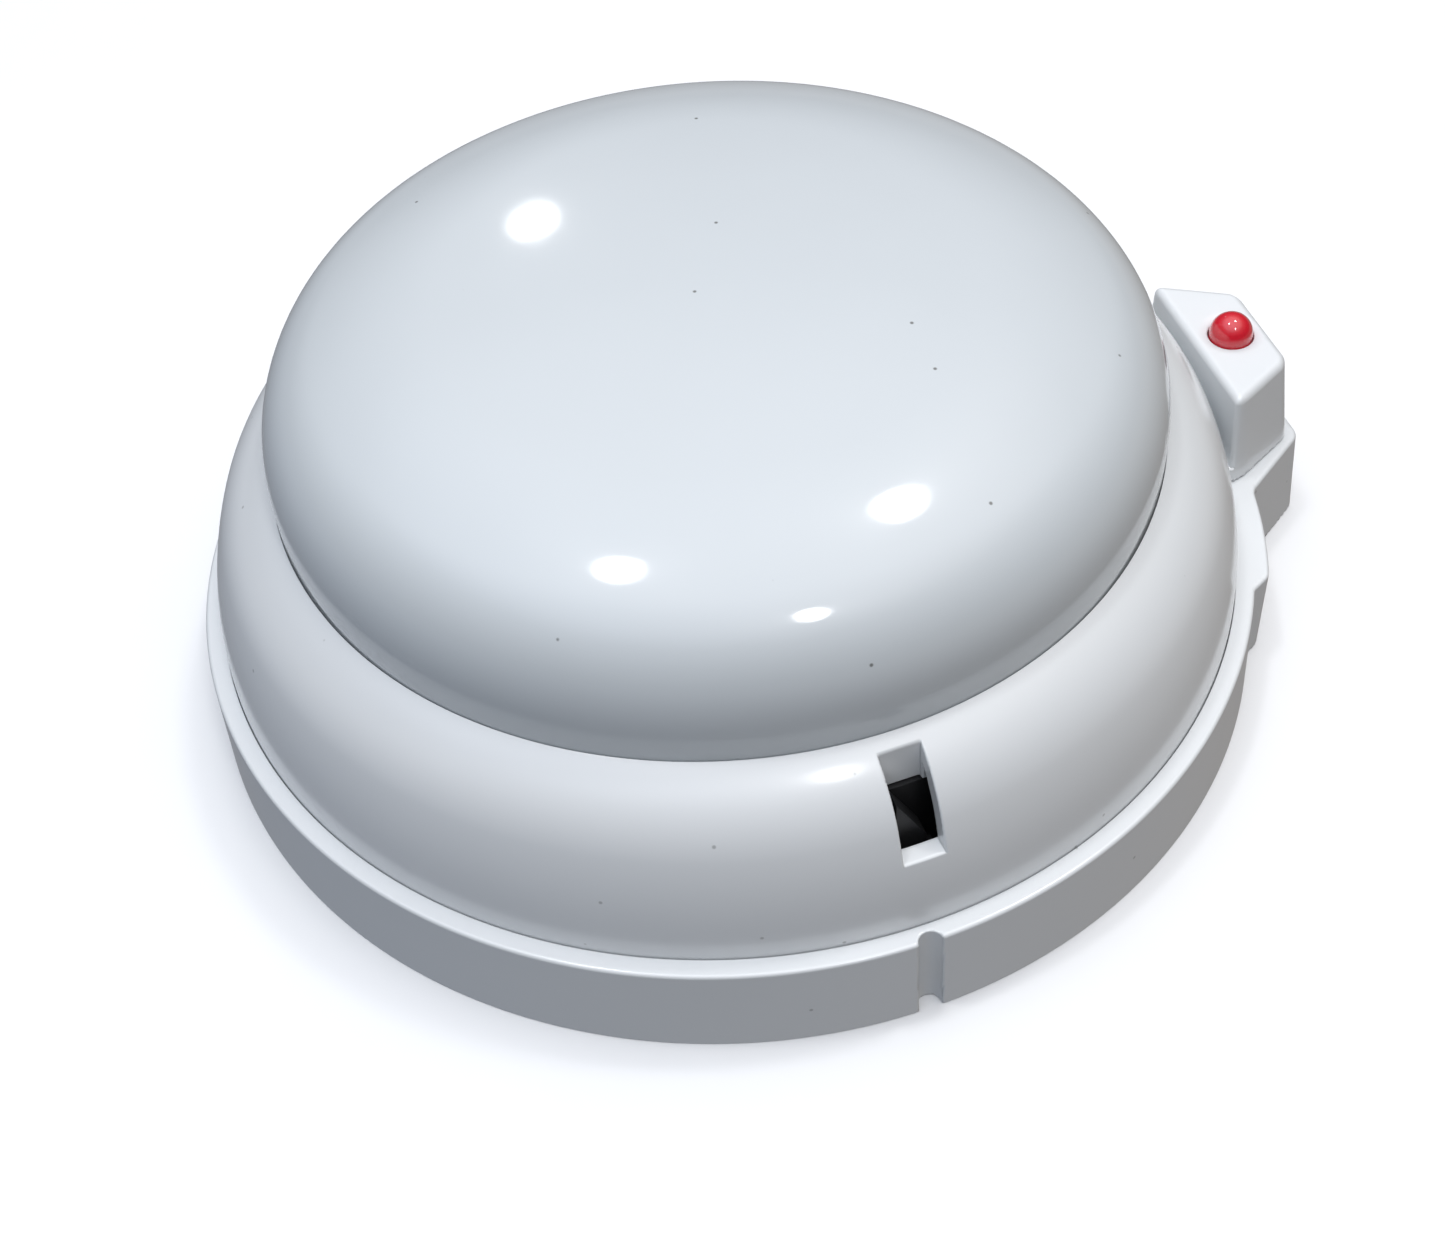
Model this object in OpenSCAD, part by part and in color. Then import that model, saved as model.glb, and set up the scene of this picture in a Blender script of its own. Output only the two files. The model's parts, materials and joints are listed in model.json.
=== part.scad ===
// Rate-of-rise spot heat detector: a round base, and a twist-on head with a domed air chamber.
// Origin: centre of the base's mounting face. +Z points to the dome, +X to the lamp block.

/* [Base] */
// Radius of the base rim
rim_r = 52.2; // [52.1:0.1:53]
// Height of the base rim above the mounting face
rim_z = 10; // [9.8:0.1:10]
// How much wider the base is at the mounting face than at the rim
base_draft = 0.35; // [0:0.05:0.6]
// Thickness of the base floor
floor_t = 2.5; // [2:0.1:2.6]
// Distance between the two fixing slots
slot_spacing = 66; // [64:0.5:68]
// End-to-end length of a fixing slot
slot_length = 10; // [6:0.5:10]
// Width of a fixing slot
slot_width = 4.5; // [3.5:0.1:5]
// Radius of the cable hole
cable_hole_r = 13; // [10:0.5:14]
// Number of terminals
terminals = 4; // [4]

/* [Head ring] */
// Height of the seam between ring and dome
seam_z = 26.7; // [26.6:0.05:26.7]
// Wall thickness of the ring
ring_wall = 1.8; // [1.5:0.1:1.9]
// Width of the lock slot
lock_slot_w = 3.8; // [3.5:0.1:4.2]
// Direction of the lock slot and of the base mark, in degrees from the lamp block
mark_angle = -87; // [-89:1:-85]

/* [Lamp block] */
// Height of the top of the lamp block
block_top_z = 20.3; // [19.5:0.1:20.8]
// Distance from the detector's axis to the outer face of the lamp block
block_reach = 57.8; // [57.3:0.1:58]
// Radius of the lamp
lamp_r = 2.2; // [2:0.1:2.4]

/* [Dome] */
// Largest radius of the dome
dome_r = 42.2; // [42.1:0.05:42.2]
// Height where the dome's upright wall ends and its shoulder begins
dome_wall_z = 29.9; // [29.5:0.1:30.2]
// Radius of the dome's shoulder
shoulder_r = 10.5; // [10:0.5:11]
// Radius of the arc between the dome's shoulder and its crown
haunch_r = 35; // [33:0.5:37]
// Thickness of the dome's sheet
sheet = 0.8; // [0.6:0.05:0.9]

/* [Motion] */
// Turn from locked to free of the hooks, in degrees
twist = 15; // [15]
// Travel of the diaphragm's centre from rest to contact
diaphragm_travel = 0.4; // [0.3:0.05:0.4]

/* [Hidden] */
$fn = 180;
fine = 40;
eps = 0.01;
big = 100;

// colours
shell_white = [0.90, 0.92, 0.94];
moulded_black = [0.10, 0.10, 0.11];
nickel = [0.75, 0.73, 0.68];
steel = [0.66, 0.67, 0.69];
brass = [0.80, 0.66, 0.36];
bronze = [0.78, 0.56, 0.34];

// base
wall_in_r = 50.45;              // inner radius of the base wall
hook_angles = [30, 150, 270];
hook_span = twist - 1.5;        // degrees
hook_z = [6.4, 7.9];
hook_in_r = 48.6;
wing_r = rim_r + 1.35;          // rim either side of the lamp block
wing_half = 26;                 // degrees
wing_end = 29;                  // degrees, where the wing has run out into the rim
mark_r = 1.1;
mark_at_r = rim_r + 0.05;
notch_angle = mark_angle - 0.7;
pad_top = floor_t + 1.3;
jaw_t = 0.5;
terminal_angles = [for (i = [0 : terminals - 1]) 45 + i * 360 / terminals];
screw_u = 28;                   // distance of a terminal screw from the axis
rivet_u = 33.2;

// head ring, drawn by two arcs that meet in one tangent
foot_z = 8.2;
low_arc_r = 28;
high_arc_r = 11;
join_angle = 22;
ring_r = 50.3;
low_centre = [ring_r - low_arc_r, rim_z + 0.2];
high_centre = low_centre + (low_arc_r - high_arc_r) * turned(join_angle);
lip_in_r = high_centre[0] + sqrt(pow(high_arc_r, 2) - pow(seam_z - high_centre[1], 2));
lip_out_r = 44.2;
lip_bottom_z = 21.5;
slot_in_r = 43.65;               // inner end of the lock slot
slot_ledge_z = 17.65;
boss_angles = [60, 180, 300];
boss_at_r = 46.35;

// lamp block: each outline as [distance out, half width] rows, inner to outer
block_root = 46;
block_face = 50.3;              // flat inner face, clear of the ring above the groove's floor
block_top = [[block_root, 9.95], [block_face, 9.95], [block_reach, 5.65]];
block_foot = [[block_root, 10.65], [block_face + 0.9, 10.65], [block_reach + 1.2, 6.2]];
block_foot_z = rim_z + 0.15;
block_wall = 1.6;
groove_z = 11.8;
bridge_z = 14.5;                // top of the bridge that carries the lamp's leads over the groove
bridge_half = 3;
groove_half = 11;
lamp_pocket = [[block_face + 0.9, 6.4], [block_reach - block_wall / 2, 3.8]];
lamp_u = 54.3;
lamp_centre_z = block_top_z;
base_block_foot = [[block_root, 17.4], [block_reach + 2.9, 6.7]];
base_block_top = [[block_root, 16.75], [block_reach + 2.3, 6.35]];
base_block_core = [[rim_r + 1.2, 9.6], [block_reach + 0.4, 5.6]];

// carrier
deck_z = [8, 10];
deck_r = 48.3;
skirt_r = [46.8, 48.2];
skirt_bottom = 4.7;
lug_z = [4.7, 6.2];
lug_out_r = 50.1;
collar_r = [42.5, 44.05];
collar_top = lip_bottom_z - 0.1;
pillar_at_r = 35;
board_posts = [[22, 9], [22, -9], [36, 9], [36, -9]];

// lock slide and the two ribs it drops between
rib_u = [44, 46.3];
rib_t = 1.6;
rib_gap = 1.7;                  // from the middle of the slide to a rib
slide_u = [44.45, 46.4];
slide_half = 1.4;
slide_bottom = 6;
slide_travel = 2.5;
slide_stop_z = deck_z[1] + slide_travel + 0.2;

// chamber
plate_z = [18.9, 19.9];
crimp_z = [17.5, 18.3];
crimp_in_r = 39.5;
haunch_lean = 25;               // degrees from upright, where the shoulder meets the haunch
crown_lean = 6;                 // degrees from upright, where the haunch meets the crown
shoulder_centre = [dome_r - shoulder_r, dome_wall_z];
haunch_centre = shoulder_centre - (haunch_r - shoulder_r) * leaning(haunch_lean);
crown_r = haunch_r + haunch_centre[0] / sin(crown_lean);
crown_centre = haunch_centre - (crown_r - haunch_r) * leaning(crown_lean);
orifice_u = 27;
orifice_angle = 165;
diaphragm_r = 18;
diaphragm_t = 0.2;
wave_in = 4;
wave_out = 12.5;
cup_depth = 1;
clamp_z = [17.5, plate_z[0] - diaphragm_t];
clamp_angles = [45, 135, 225, 315];
clamp_rivet_u = 16.5;

// contact set
leaf_z = 14.9;
leaf_t = 0.2;
pivot_x = -14;
contact_x = 4.5;
tip_z = leaf_z - 0.5;
gap = diaphragm_travel * (contact_x - pivot_x) / -pivot_x + 0.06;
block_x = [-24, pivot_x];
block_half = 5;
block_screws = [[-19, 2.8], [-19, -2.8]];
bracket_z = [12, 12.8];

// circuit board
board_z = [11, 12.6];
board_x = [18, 39.4];
board_half = 13;
lead_z = 13.2;
lead_hole_u = 38.2;
lead_half = 1.27;
wire_r = 0.5;
play = 0.03;                    // how much thinner a shank is than its hole, in radius

// ---- shapes used by several parts ----

module tube(r_out, r_in, z) {
    translate([0, 0, z[0]])
        difference() {
            cylinder(r = r_out, h = z[1] - z[0]);
            translate([0, 0, -eps]) cylinder(r = r_in, h = z[1] - z[0] + 2 * eps);
        }
}

module disc(r, z) {
    translate([0, 0, z[0]]) cylinder(r = r, h = z[1] - z[0]);
}

module block(x, y, z) {
    translate([x[0], y[0], z[0]]) cube([x[1] - x[0], y[1] - y[0], z[1] - z[0]]);
}

// part of a ring with a rectangular section, centred on the angle a
module sector(r, z, a, span) {
    rotate([0, 0, a - span / 2])
        rotate_extrude(angle = span)
            translate([r[0], z[0]]) square([r[1] - r[0], z[1] - z[0]]);
}

// copies at each angle, moved out by u
module around(angles, u = 0) {
    for (a = angles)
        rotate([0, 0, a]) translate([u, 0, 0]) children();
}

// unit vector in the direction a
function turned(a) = [cos(a), sin(a)];

// unit vector that leans a degrees from upright
function leaning(a) = [sin(a), cos(a)];

module slot_2d(length, width) {
    square([length - width, width], center = true);
    for (s = [-1, 1]) translate([s * (length - width) / 2, 0]) circle(d = width, $fn = fine);
}

// closed outline, the same either side of X, from [distance out, half width] rows
function outline(rows) = concat(
    [for (i = [0 : len(rows) - 1]) [rows[i][0], -rows[i][1]]],
    [for (i = [len(rows) - 1 : -1 : 0]) [rows[i][0], rows[i][1]]]
);

module prism(rows, z) {
    translate([0, 0, z[0]]) linear_extrude(z[1] - z[0]) polygon(outline(rows));
}

// solid that tapers from one outline to another
module drafted(foot, top, z) {
    hull() {
        prism(foot, [z[0], z[0] + eps]);
        prism(top, [z[1] - eps, z[1]]);
    }
}

// pan-head screw with a cross recess, head upwards at z = 0
module screw(shank_r, head_r, head_h, length) {
    recess = head_r * 0.25;
    difference() {
        union() {
            cylinder(r = head_r, h = head_h, $fn = fine);
            translate([0, 0, -length]) cylinder(r = shank_r - play, h = length + eps, $fn = fine);
        }
        for (a = [0, 90])
            rotate([0, 0, a])
                translate([-head_r * 0.7, -recess / 2, head_h / 2])
                    cube([head_r * 1.4, recess, head_h]);
    }
}

module rivet(r, head_r, z, head_h) {
    disc(r - play, [z[0], z[1] + eps], $fn = fine);
    disc(head_r, [z[1], z[1] + head_h], $fn = fine);
}

// round wire through a list of points
module wire(points, r) {
    for (i = [0 : len(points) - 2]) {
        leg = points[i + 1] - points[i];
        turn = atan2(leg[1], leg[0]);
        tilt = acos(leg[2] / norm(leg));
        translate(points[i]) rotate([0, tilt, turn]) cylinder(r = r, h = norm(leg), $fn = fine);
    }
    for (i = [1 : 1 : len(points) - 2]) translate(points[i]) sphere(r = r, $fn = fine);
}

// ---- base ----

// the wider stretch of rim either side of the lamp block, which slopes back into the rim at each end
module wing_2d() {
    ends = [for (s = [-1, 1]) (rim_r - 0.5) * turned(s * wing_end)];
    corners = [for (s = [-1, 1]) wing_r * turned(s * wing_half)];
    beyond = [for (i = [0, 1]) ends[i] + 3 * (corners[i] - ends[i])];
    difference() {
        intersection() {
            circle(r = wing_r);
            polygon([[0, 0], ends[0], beyond[0], beyond[1], ends[1]]);
        }
        circle(r = rim_r - 1.2);
    }
}

module base_outline() {
    cylinder(r1 = rim_r + base_draft, r2 = rim_r, h = rim_z);
    linear_extrude(rim_z) wing_2d();
    drafted(base_block_foot, base_block_top, [0, rim_z]);
}

module base_shell() {
    color(shell_white)
        difference() {
            union() {
                difference() {
                    base_outline();
                    disc(wall_in_r, [floor_t, rim_z + 1]);
                    prism(base_block_core, [-1, rim_z - 1.8]);
                }
                around(hook_angles) sector([hook_in_r, wall_in_r + 0.3], hook_z, 0, hook_span);
                disc(cable_hole_r + 1.5, [floor_t - eps, floor_t + 3]);
                around(terminal_angles) block([22, 36], [-5, 5], [floor_t - eps, pad_top]);
                for (s = [-1, 1])
                    translate([s * slot_spacing / 2, 0, floor_t - eps])
                        linear_extrude(1) slot_2d(slot_length + 5, slot_width + 5);
                around([mark_angle])
                    for (s = [-1, 1])
                        translate([0, s * (rib_gap + rib_t / 2), 0])
                            block(rib_u, [-rib_t / 2, rib_t / 2], [floor_t - eps, floor_t + 3]);
            }
            disc(cable_hole_r, [-1, rim_z]);
            around([notch_angle], mark_at_r) disc(mark_r, [-1, rim_z + 1], $fn = fine);
            around(hook_angles)
                sector([hook_in_r - 0.2, wall_in_r + 0.2], [-1, floor_t + 1], 0, hook_span);
            for (s = [-1, 1])
                translate([s * slot_spacing / 2, 0, -1])
                    linear_extrude(rim_z) slot_2d(slot_length, slot_width);
            around(terminal_angles, screw_u) disc(1.5, [0.8, pad_top + 1], $fn = fine);
            around(terminal_angles, rivet_u) disc(0.9, [-1, pad_top + 1], $fn = fine);
        }
}

// jaw strip: flat on its pad, then folded back over the blade
module base_contact() {
    jaw_top = 6.45;
    jaw_u = [37, 44.4];
    jaw_half = 3.5;
    color(nickel)
        difference() {
            union() {
                block([22.8, jaw_u[0]], [-4, 4], [pad_top, pad_top + jaw_t]);
                for (z = [pad_top, pad_top + 0.9, jaw_top])
                    block([jaw_u[0] - eps, jaw_u[1]], [-jaw_half, jaw_half], [z, z + jaw_t]);
                block([jaw_u[1] - jaw_t, jaw_u[1]], [-jaw_half, jaw_half], [pad_top, jaw_top + jaw_t]);
            }
            translate([screw_u, 0, 0]) disc(1.5, [0, rim_z], $fn = fine);
            translate([rivet_u, 0, 0]) disc(0.9, [0, rim_z], $fn = fine);
        }
}

module terminal_screws() {
    color(steel)
        around(terminal_angles, screw_u)
            translate([0, 0, pad_top + jaw_t + 0.9]) screw(1.5, 2.9, 1.6, 3.8);
}

module clamp_washers() {
    color(nickel)
        around(terminal_angles, screw_u)
            difference() {
                block([-3.2, 3.2], [-3.6, 3.6], [pad_top + jaw_t, pad_top + jaw_t + 0.9]);
                disc(1.7, [0, rim_z], $fn = fine);
            }
}

module contact_rivets() {
    color(brass)
        around(terminal_angles, rivet_u)
            rivet(0.9, 1.4, [0.6, pad_top + jaw_t], 0.5);
}

// ---- head: ring ----

// region under the ring's outer surface, moved inwards by inset
module ring_region_2d(inset) {
    translate(high_centre) circle(r = high_arc_r - inset, $fn = 180);
    intersection() {
        translate(low_centre) circle(r = low_arc_r - inset, $fn = 360);
        polygon([
            low_centre,
            low_centre + big * turned(join_angle),
            low_centre + big * [1, -1],
            low_centre + [0, -big]
        ]);
    }
}

module ring_section_2d() {
    difference() {
        intersection() {
            ring_region_2d(0);
            translate([lip_in_r, foot_z]) square([big, big]);
        }
        intersection() {
            ring_region_2d(ring_wall);
            translate([lip_out_r, foot_z - 1]) square([big, big]);
        }
        translate([lip_in_r - 1, foot_z - 1])
            square([lip_out_r - lip_in_r + 1.01, lip_bottom_z - foot_z + 1]);
    }
}

// the lamp block stops in the ring's wall, and a groove parts its upper half from the ring
module lamp_block() {
    difference() {
        drafted(block_foot, block_top, [block_foot_z, block_top_z]);
        rotate_extrude() ring_region_2d(ring_wall / 2);
        difference() {
            block([block_root - 1, block_face], [-groove_half, groove_half], [groove_z, block_top_z + 1]);
            block([block_root - 2, block_face + 1], [-bridge_half, bridge_half], [groove_z - 1, bridge_z]);
        }
    }
}

module head_ring() {
    color(shell_white)
        difference() {
            union() {
                rotate_extrude() ring_section_2d();
                lamp_block();
                intersection() {
                    around(boss_angles, boss_at_r) disc(2.25, [deck_z[1], seam_z], $fn = fine);
                    rotate_extrude() ring_region_2d(ring_wall / 2);
                }
            }
            prism(lamp_pocket, [block_foot_z - 1, block_top_z - block_wall]);
            block([block_root, block_face + 2], [-1.9, 1.9], [lead_z - 0.6, lead_z + 0.7]);
            translate([lamp_u, 0, 0]) disc(lamp_r + 0.1, [block_foot_z, block_top_z + 1], $fn = fine);
            translate([lamp_u, 0, block_top_z + 5.3]) sphere(r = 6);
            around(boss_angles, boss_at_r) disc(1, [deck_z[1] - 1, deck_z[1] + 7], $fn = fine);
            around([mark_angle])
                block([slot_in_r, rim_r + 2], [-lock_slot_w / 2, lock_slot_w / 2], [slot_ledge_z, big]);
        }
}

// ---- head: carrier, lock and blades ----

module head_carrier() {
    color(moulded_black)
        difference() {
            union() {
                disc(deck_r, deck_z);
                tube(collar_r[1], collar_r[0], [deck_z[1] - eps, collar_top]);
                tube(skirt_r[1], skirt_r[0], [skirt_bottom, deck_z[0] + eps]);
                around(hook_angles) sector([skirt_r[0] + 0.5, lug_out_r], lug_z, 0, hook_span);
                around(boss_angles, pillar_at_r) disc(3.2, [deck_z[0], plate_z[0]], $fn = fine);
                for (p = board_posts)
                    translate([p[0], p[1], 0]) disc(2, [deck_z[0], board_z[0]], $fn = fine);
            }
            around(boss_angles, boss_at_r) disc(1.35, [0, 11], $fn = fine);
            around(boss_angles, boss_at_r) disc(2.8, [0, deck_z[0] + 0.8], $fn = fine);
            around(boss_angles, pillar_at_r) disc(1.6, [0, 20], $fn = fine);
            around(boss_angles, pillar_at_r) disc(3, [0, deck_z[0] + 1.4], $fn = fine);
            for (p = board_posts)
                translate([p[0], p[1], 0]) disc(0.8, [deck_z[0] + 0.6, 12], $fn = fine);
            around([mark_angle])
                block([slide_u[0] - 0.25, slide_u[1] + 0.25], [-slide_half - 0.2, slide_half + 0.2], [0, deck_z[1] + 1]);
            around(terminal_angles, 30) disc(0.9, [0, 11], $fn = fine);
            translate([contact_x, 0, 0]) disc(2.6, [0, 11], $fn = fine);
            block([collar_r[0] - 1, collar_r[1] + 1], [-3, 3], [deck_z[1], 16]);
        }
}

// tooth, stem with a stop collar, and a slanted push face behind the ring's slot
module lock_slide() {
    color(moulded_black)
        around([mark_angle]) {
            block(slide_u, [-slide_half, slide_half], [slide_bottom, 16.4]);
            difference() {
                block(slide_u, [-slide_half - 1.2, slide_half + 1.2], [slide_stop_z, slide_stop_z + 1.3]);
                block([slide_u[0] - 1, slide_u[1] + 1], [-slide_half, slide_half], [0, big]);
            }
            translate([slide_u[0], 0, 0])
                rotate([90, 0, 90])
                    linear_extrude(slide_u[1] - slide_u[0])
                        polygon([
                            [-slide_half, 16.4], [slide_half, 16.4],
                            [slide_half, 17], [-slide_half, 22.2]
                        ]);
        }
}

// pad on the deck's underside, leg, and tongue that turns into the base's jaw
module head_blade() {
    t = 0.8;
    color(nickel)
        difference() {
            union() {
                block([23, 35.9], [-3, 3], [deck_z[0] - t, deck_z[0]]);
                block([35.1, 35.9], [-3, 3], [5.3, deck_z[0]]);
                block([35.1, 43], [-3, 3], [5.3, 5.3 + t]);
            }
            translate([30, 0, 0]) disc(0.9, [0, 11], $fn = fine);
        }
}

module blade_rivets() {
    color(brass)
        around(terminal_angles, 30) {
            rivet(0.9, 1.5, [deck_z[0] - 0.8, deck_z[1]], 0.6);
        }
}

// screws that stand head down, so they are turned over
module head_down(angles, u, z) {
    around(angles, u) translate([0, 0, z]) rotate([180, 0, 0]) children();
}

module ring_screws() {
    color(steel)
        head_down(boss_angles, boss_at_r, deck_z[0] + 0.8) screw(1, 1.9, 1.4, 8);
}

module chamber_screws() {
    color(steel)
        head_down(boss_angles, pillar_at_r, deck_z[0] + 1.4) screw(1.45, 2.6, 1.6, 11);
}

// ---- air chamber ----

// sector of a circle from a little past upright to that lean
module dome_arc_2d(centre, radius, lean) {
    intersection() {
        translate(centre) circle(r = radius, $fn = 720);
        polygon([centre, centre + 3 * big * leaning(-10), centre + 3 * big * leaning(lean)]);
    }
}

// region inside the dome, moved inwards by inset
module dome_region_2d(inset) {
    intersection() {
        union() {
            dome_arc_2d(crown_centre, crown_r - inset, crown_lean);
            dome_arc_2d(haunch_centre, haunch_r - inset, haunch_lean);
            dome_arc_2d(shoulder_centre, shoulder_r - inset, 91);
        }
        translate([0, dome_wall_z - 0.1]) square([big, big]);
    }
    translate([0, crimp_z[0] + inset])
        square([dome_r - inset, dome_wall_z - crimp_z[0] - inset]);
}

// the dome's sheet, with the bead that the plate seats on and the crimp under the gasket
module chamber_dome() {
    color(shell_white)
        rotate_extrude($fn = 180)
            intersection() {
                union() {
                    difference() {
                        dome_region_2d(0);
                        dome_region_2d(sheet);
                        translate([0, crimp_z[0] - 1]) square([crimp_in_r, 3]);
                    }
                    translate([dome_r - 2 * sheet, plate_z[1]]) square([1.5 * sheet, sheet]);
                }
                square([big, big]);
            }
}

module chamber_plate() {
    color(steel)
        difference() {
            disc(dome_r - sheet - 0.05, plate_z);
            disc(wave_out + 0.8, [0, big]);
            around(boss_angles, pillar_at_r) disc(1.5, [0, big], $fn = fine);
            around(clamp_angles, clamp_rivet_u) disc(0.7, [0, big], $fn = fine);
            around([orifice_angle], orifice_u) disc(1.2 + play, [0, big], $fn = fine);
        }
}

module chamber_gasket() {
    color([0.15, 0.15, 0.15]) tube(dome_r - sheet - 0.05, crimp_in_r, [crimp_z[1], plate_z[0]]);
}

module leak_orifice() {
    color(brass)
        around([orifice_angle], orifice_u)
            difference() {
                union() {
                    disc(1.2, [16.6, plate_z[1] + 1.4], $fn = fine);
                    disc(2.2, [plate_z[1], plate_z[1] + 0.6], $fn = fine);
                }
                disc(0.25, [10, 30], $fn = fine);
            }
}

// height of the diaphragm's upper face at radius r: flat rim, waves, flat centre
function wave_z(r) =
    r >= wave_out ? plate_z[0]
    : r <= wave_in ? plate_z[0] - cup_depth
    : plate_z[0] - cup_depth * (wave_out - r) / (wave_out - wave_in)
        - 0.3 * sin(720 * (r - wave_in) / (wave_out - wave_in));

module diaphragm() {
    steps = 24;
    radii = concat([0.001, wave_in],
        [for (i = [1 : steps]) wave_in + (wave_out - wave_in) * i / steps],
        [diaphragm_r]);
    color(bronze)
        difference() {
            rotate_extrude()
                polygon(concat(
                    [for (r = radii) [r, wave_z(r)]],
                    [for (i = [len(radii) - 1 : -1 : 0]) [radii[i], wave_z(radii[i]) - diaphragm_t]]
                ));
            around(clamp_angles, clamp_rivet_u) disc(0.7, [0, big], $fn = fine);
        }
}

module diaphragm_pusher() {
    top = plate_z[0] - cup_depth - diaphragm_t;
    color([0.85, 0.80, 0.65]) {
        disc(3.2, [top - 0.6, top], $fn = fine);
        disc(1, [leaf_z + leaf_t, top - 0.6 + eps], $fn = fine);
    }
}

module diaphragm_clamp_ring() {
    color(nickel)
        difference() {
            tube(diaphragm_r, wave_out + 0.8, clamp_z);
            around(clamp_angles, clamp_rivet_u) disc(0.7, [0, big], $fn = fine);
        }
}

module clamp_ring_rivets() {
    color(brass)
        around(clamp_angles, clamp_rivet_u) {
            rivet(0.7, 1.2, [clamp_z[0] - eps, plate_z[1]], 0.5);
            disc(1.2, [clamp_z[0] - 0.5, clamp_z[0]], $fn = fine);
        }
}

// ---- contact set under the diaphragm ----

module contact_block() {
    color([0.45, 0.25, 0.15])
        difference() {
            block(block_x, [-block_half, block_half], [deck_z[1], leaf_z]);
            for (p = block_screws) translate([p[0], p[1], 0]) disc(0.8, [11, big], $fn = fine);
        }
}

module contact_leaf() {
    color(bronze)
        difference() {
            union() {
                block([block_x[0] + 1, pivot_x], [-4.5, 4.5], [leaf_z, leaf_z + leaf_t]);
                block([pivot_x - eps, contact_x + 1.8], [-1.6, 1.6], [leaf_z, leaf_z + leaf_t]);
            }
            for (p = block_screws) translate([p[0], p[1], 0]) disc(0.8, [11, big], $fn = fine);
            translate([contact_x, 0, 0]) disc(0.5, [0, big], $fn = fine);
        }
}

module moving_contact() {
    color(steel)
        translate([contact_x, 0, 0]) {
            disc(1, [tip_z, leaf_z], $fn = fine);
            rivet(0.5, 0.8, [leaf_z - eps, leaf_z + leaf_t], 0.25);
        }
}

module leaf_clamp_plate() {
    color(nickel)
        difference() {
            block([block_x[0] + 1, pivot_x], [-4.5, 4.5], [leaf_z + leaf_t, leaf_z + leaf_t + 0.8]);
            for (p = block_screws) translate([p[0], p[1], 0]) disc(0.8, [11, big], $fn = fine);
        }
}

module contact_block_screws() {
    color(steel)
        for (p = block_screws)
            translate([p[0], p[1], leaf_z + leaf_t + 0.8]) screw(0.8, 1.6, 1, 4.4);
}

module fixed_contact_bracket() {
    color(nickel)
        difference() {
            union() {
                block([9.2, 17.4], [-3, 3], [deck_z[1], deck_z[1] + 0.8]);
                block([9.2, 10], [-3, 3], [deck_z[1], bracket_z[1]]);
                block([1.5, 10], [-3, 3], bracket_z);
            }
            translate([contact_x, 0, 0]) disc(1.02, [0, big], $fn = fine);
        }
}

module adjusting_screw() {
    color(brass)
        translate([contact_x, 0, 0])
            difference() {
                union() {
                    disc(0.98, [9, tip_z - gap], $fn = fine);
                    disc(1.8, [8.4, 9.4], $fn = fine);
                }
                block([-3, 3], [-0.25, 0.25], [8, 8.8]);
            }
}

module adjusting_lock_nut() {
    color(brass)
        translate([contact_x, 0, bracket_z[0] - 1])
            difference() {
                cylinder(r = 2.1, h = 1, $fn = 6);
                disc(1.02, [-1, 3], $fn = fine);
            }
}

// ---- circuit ----

module circuit_board() {
    color([0.12, 0.42, 0.22])
        difference() {
            block(board_x, [-board_half, board_half], board_z);
            for (p = board_posts) translate([p[0], p[1], 0]) disc(1.1, [0, big], $fn = fine);
            for (s = [-1, 1]) translate([lead_hole_u, s * lead_half, 0]) disc(0.4, [0, big], $fn = fine);
        }
}

module board_screws() {
    color(steel)
        for (p = board_posts) translate([p[0], p[1], board_z[1]]) screw(0.8, 1.7, 1, 4);
}

// body lying along Y with a lead at each end, bent down to the board
module axial_part(r, length) {
    rotate([90, 0, 0]) cylinder(r = r, h = length, center = true, $fn = fine);
    for (s = [-1, 1])
        wire([[0, s * length / 2, 0], [0, s * (length / 2 + 1.3), 0], [0, s * (length / 2 + 1.3), -r]], 0.3);
}

module resistors() {
    color([0.80, 0.70, 0.52])
        for (x = [27, 30.6])
            translate([x, 4.2, board_z[1] + 1.2]) axial_part(1.2, 5);
}

module diode() {
    color([0.15, 0.15, 0.16])
        translate([27, -5.6, board_z[1] + 1.3]) axial_part(1.3, 4.6);
}

module thyristor() {
    color([0.13, 0.13, 0.14])
        translate([32.4, -5, board_z[1]])
            difference() {
                cylinder(r = 2.3, h = 4, $fn = fine);
                block([1.3, 3], [-3, 3], [-1, 5]);
            }
}

// insulated links: two blades and the moving contact to the board's edge
module jumper_wires() {
    blade_x = 30 * cos(45);
    link_z = (board_z[0] + board_z[1]) / 2;
    color([0.75, 0.12, 0.10]) {
        for (s = [-1, 1])
            wire([
                [blade_x, s * blade_x, deck_z[1] + 0.6],
                [blade_x, s * blade_x, link_z],
                [blade_x, s * board_half, link_z]
            ], wire_r);
        wire([
            [-19, block_half, link_z],
            [-19, 17, link_z],
            [19, 17, link_z],
            [19, board_half, link_z]
        ], wire_r);
    }
}

module indicator_led() {
    color([0.80, 0.10, 0.15])
        translate([lamp_u, 0, 0]) {
            disc(lamp_r, [lamp_centre_z - 3.2, lamp_centre_z], $fn = fine);
            intersection() {
                translate([0, 0, lamp_centre_z]) sphere(r = lamp_r, $fn = 60);
                disc(big, [lamp_centre_z - eps, big]);
            }
            disc(lamp_r + 0.3, [lamp_centre_z - 4, lamp_centre_z - 3.1], $fn = fine);
        }
}

module led_leads() {
    color(steel)
        for (s = [-1, 1])
            translate([0, s * lead_half, 0])
                wire([
                    [lamp_u, 0, lamp_centre_z - 4],
                    [lamp_u, 0, lead_z],
                    [lead_hole_u, 0, lead_z],
                    [lead_hole_u, 0, board_z[0]]
                ], 0.25);
}

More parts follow.
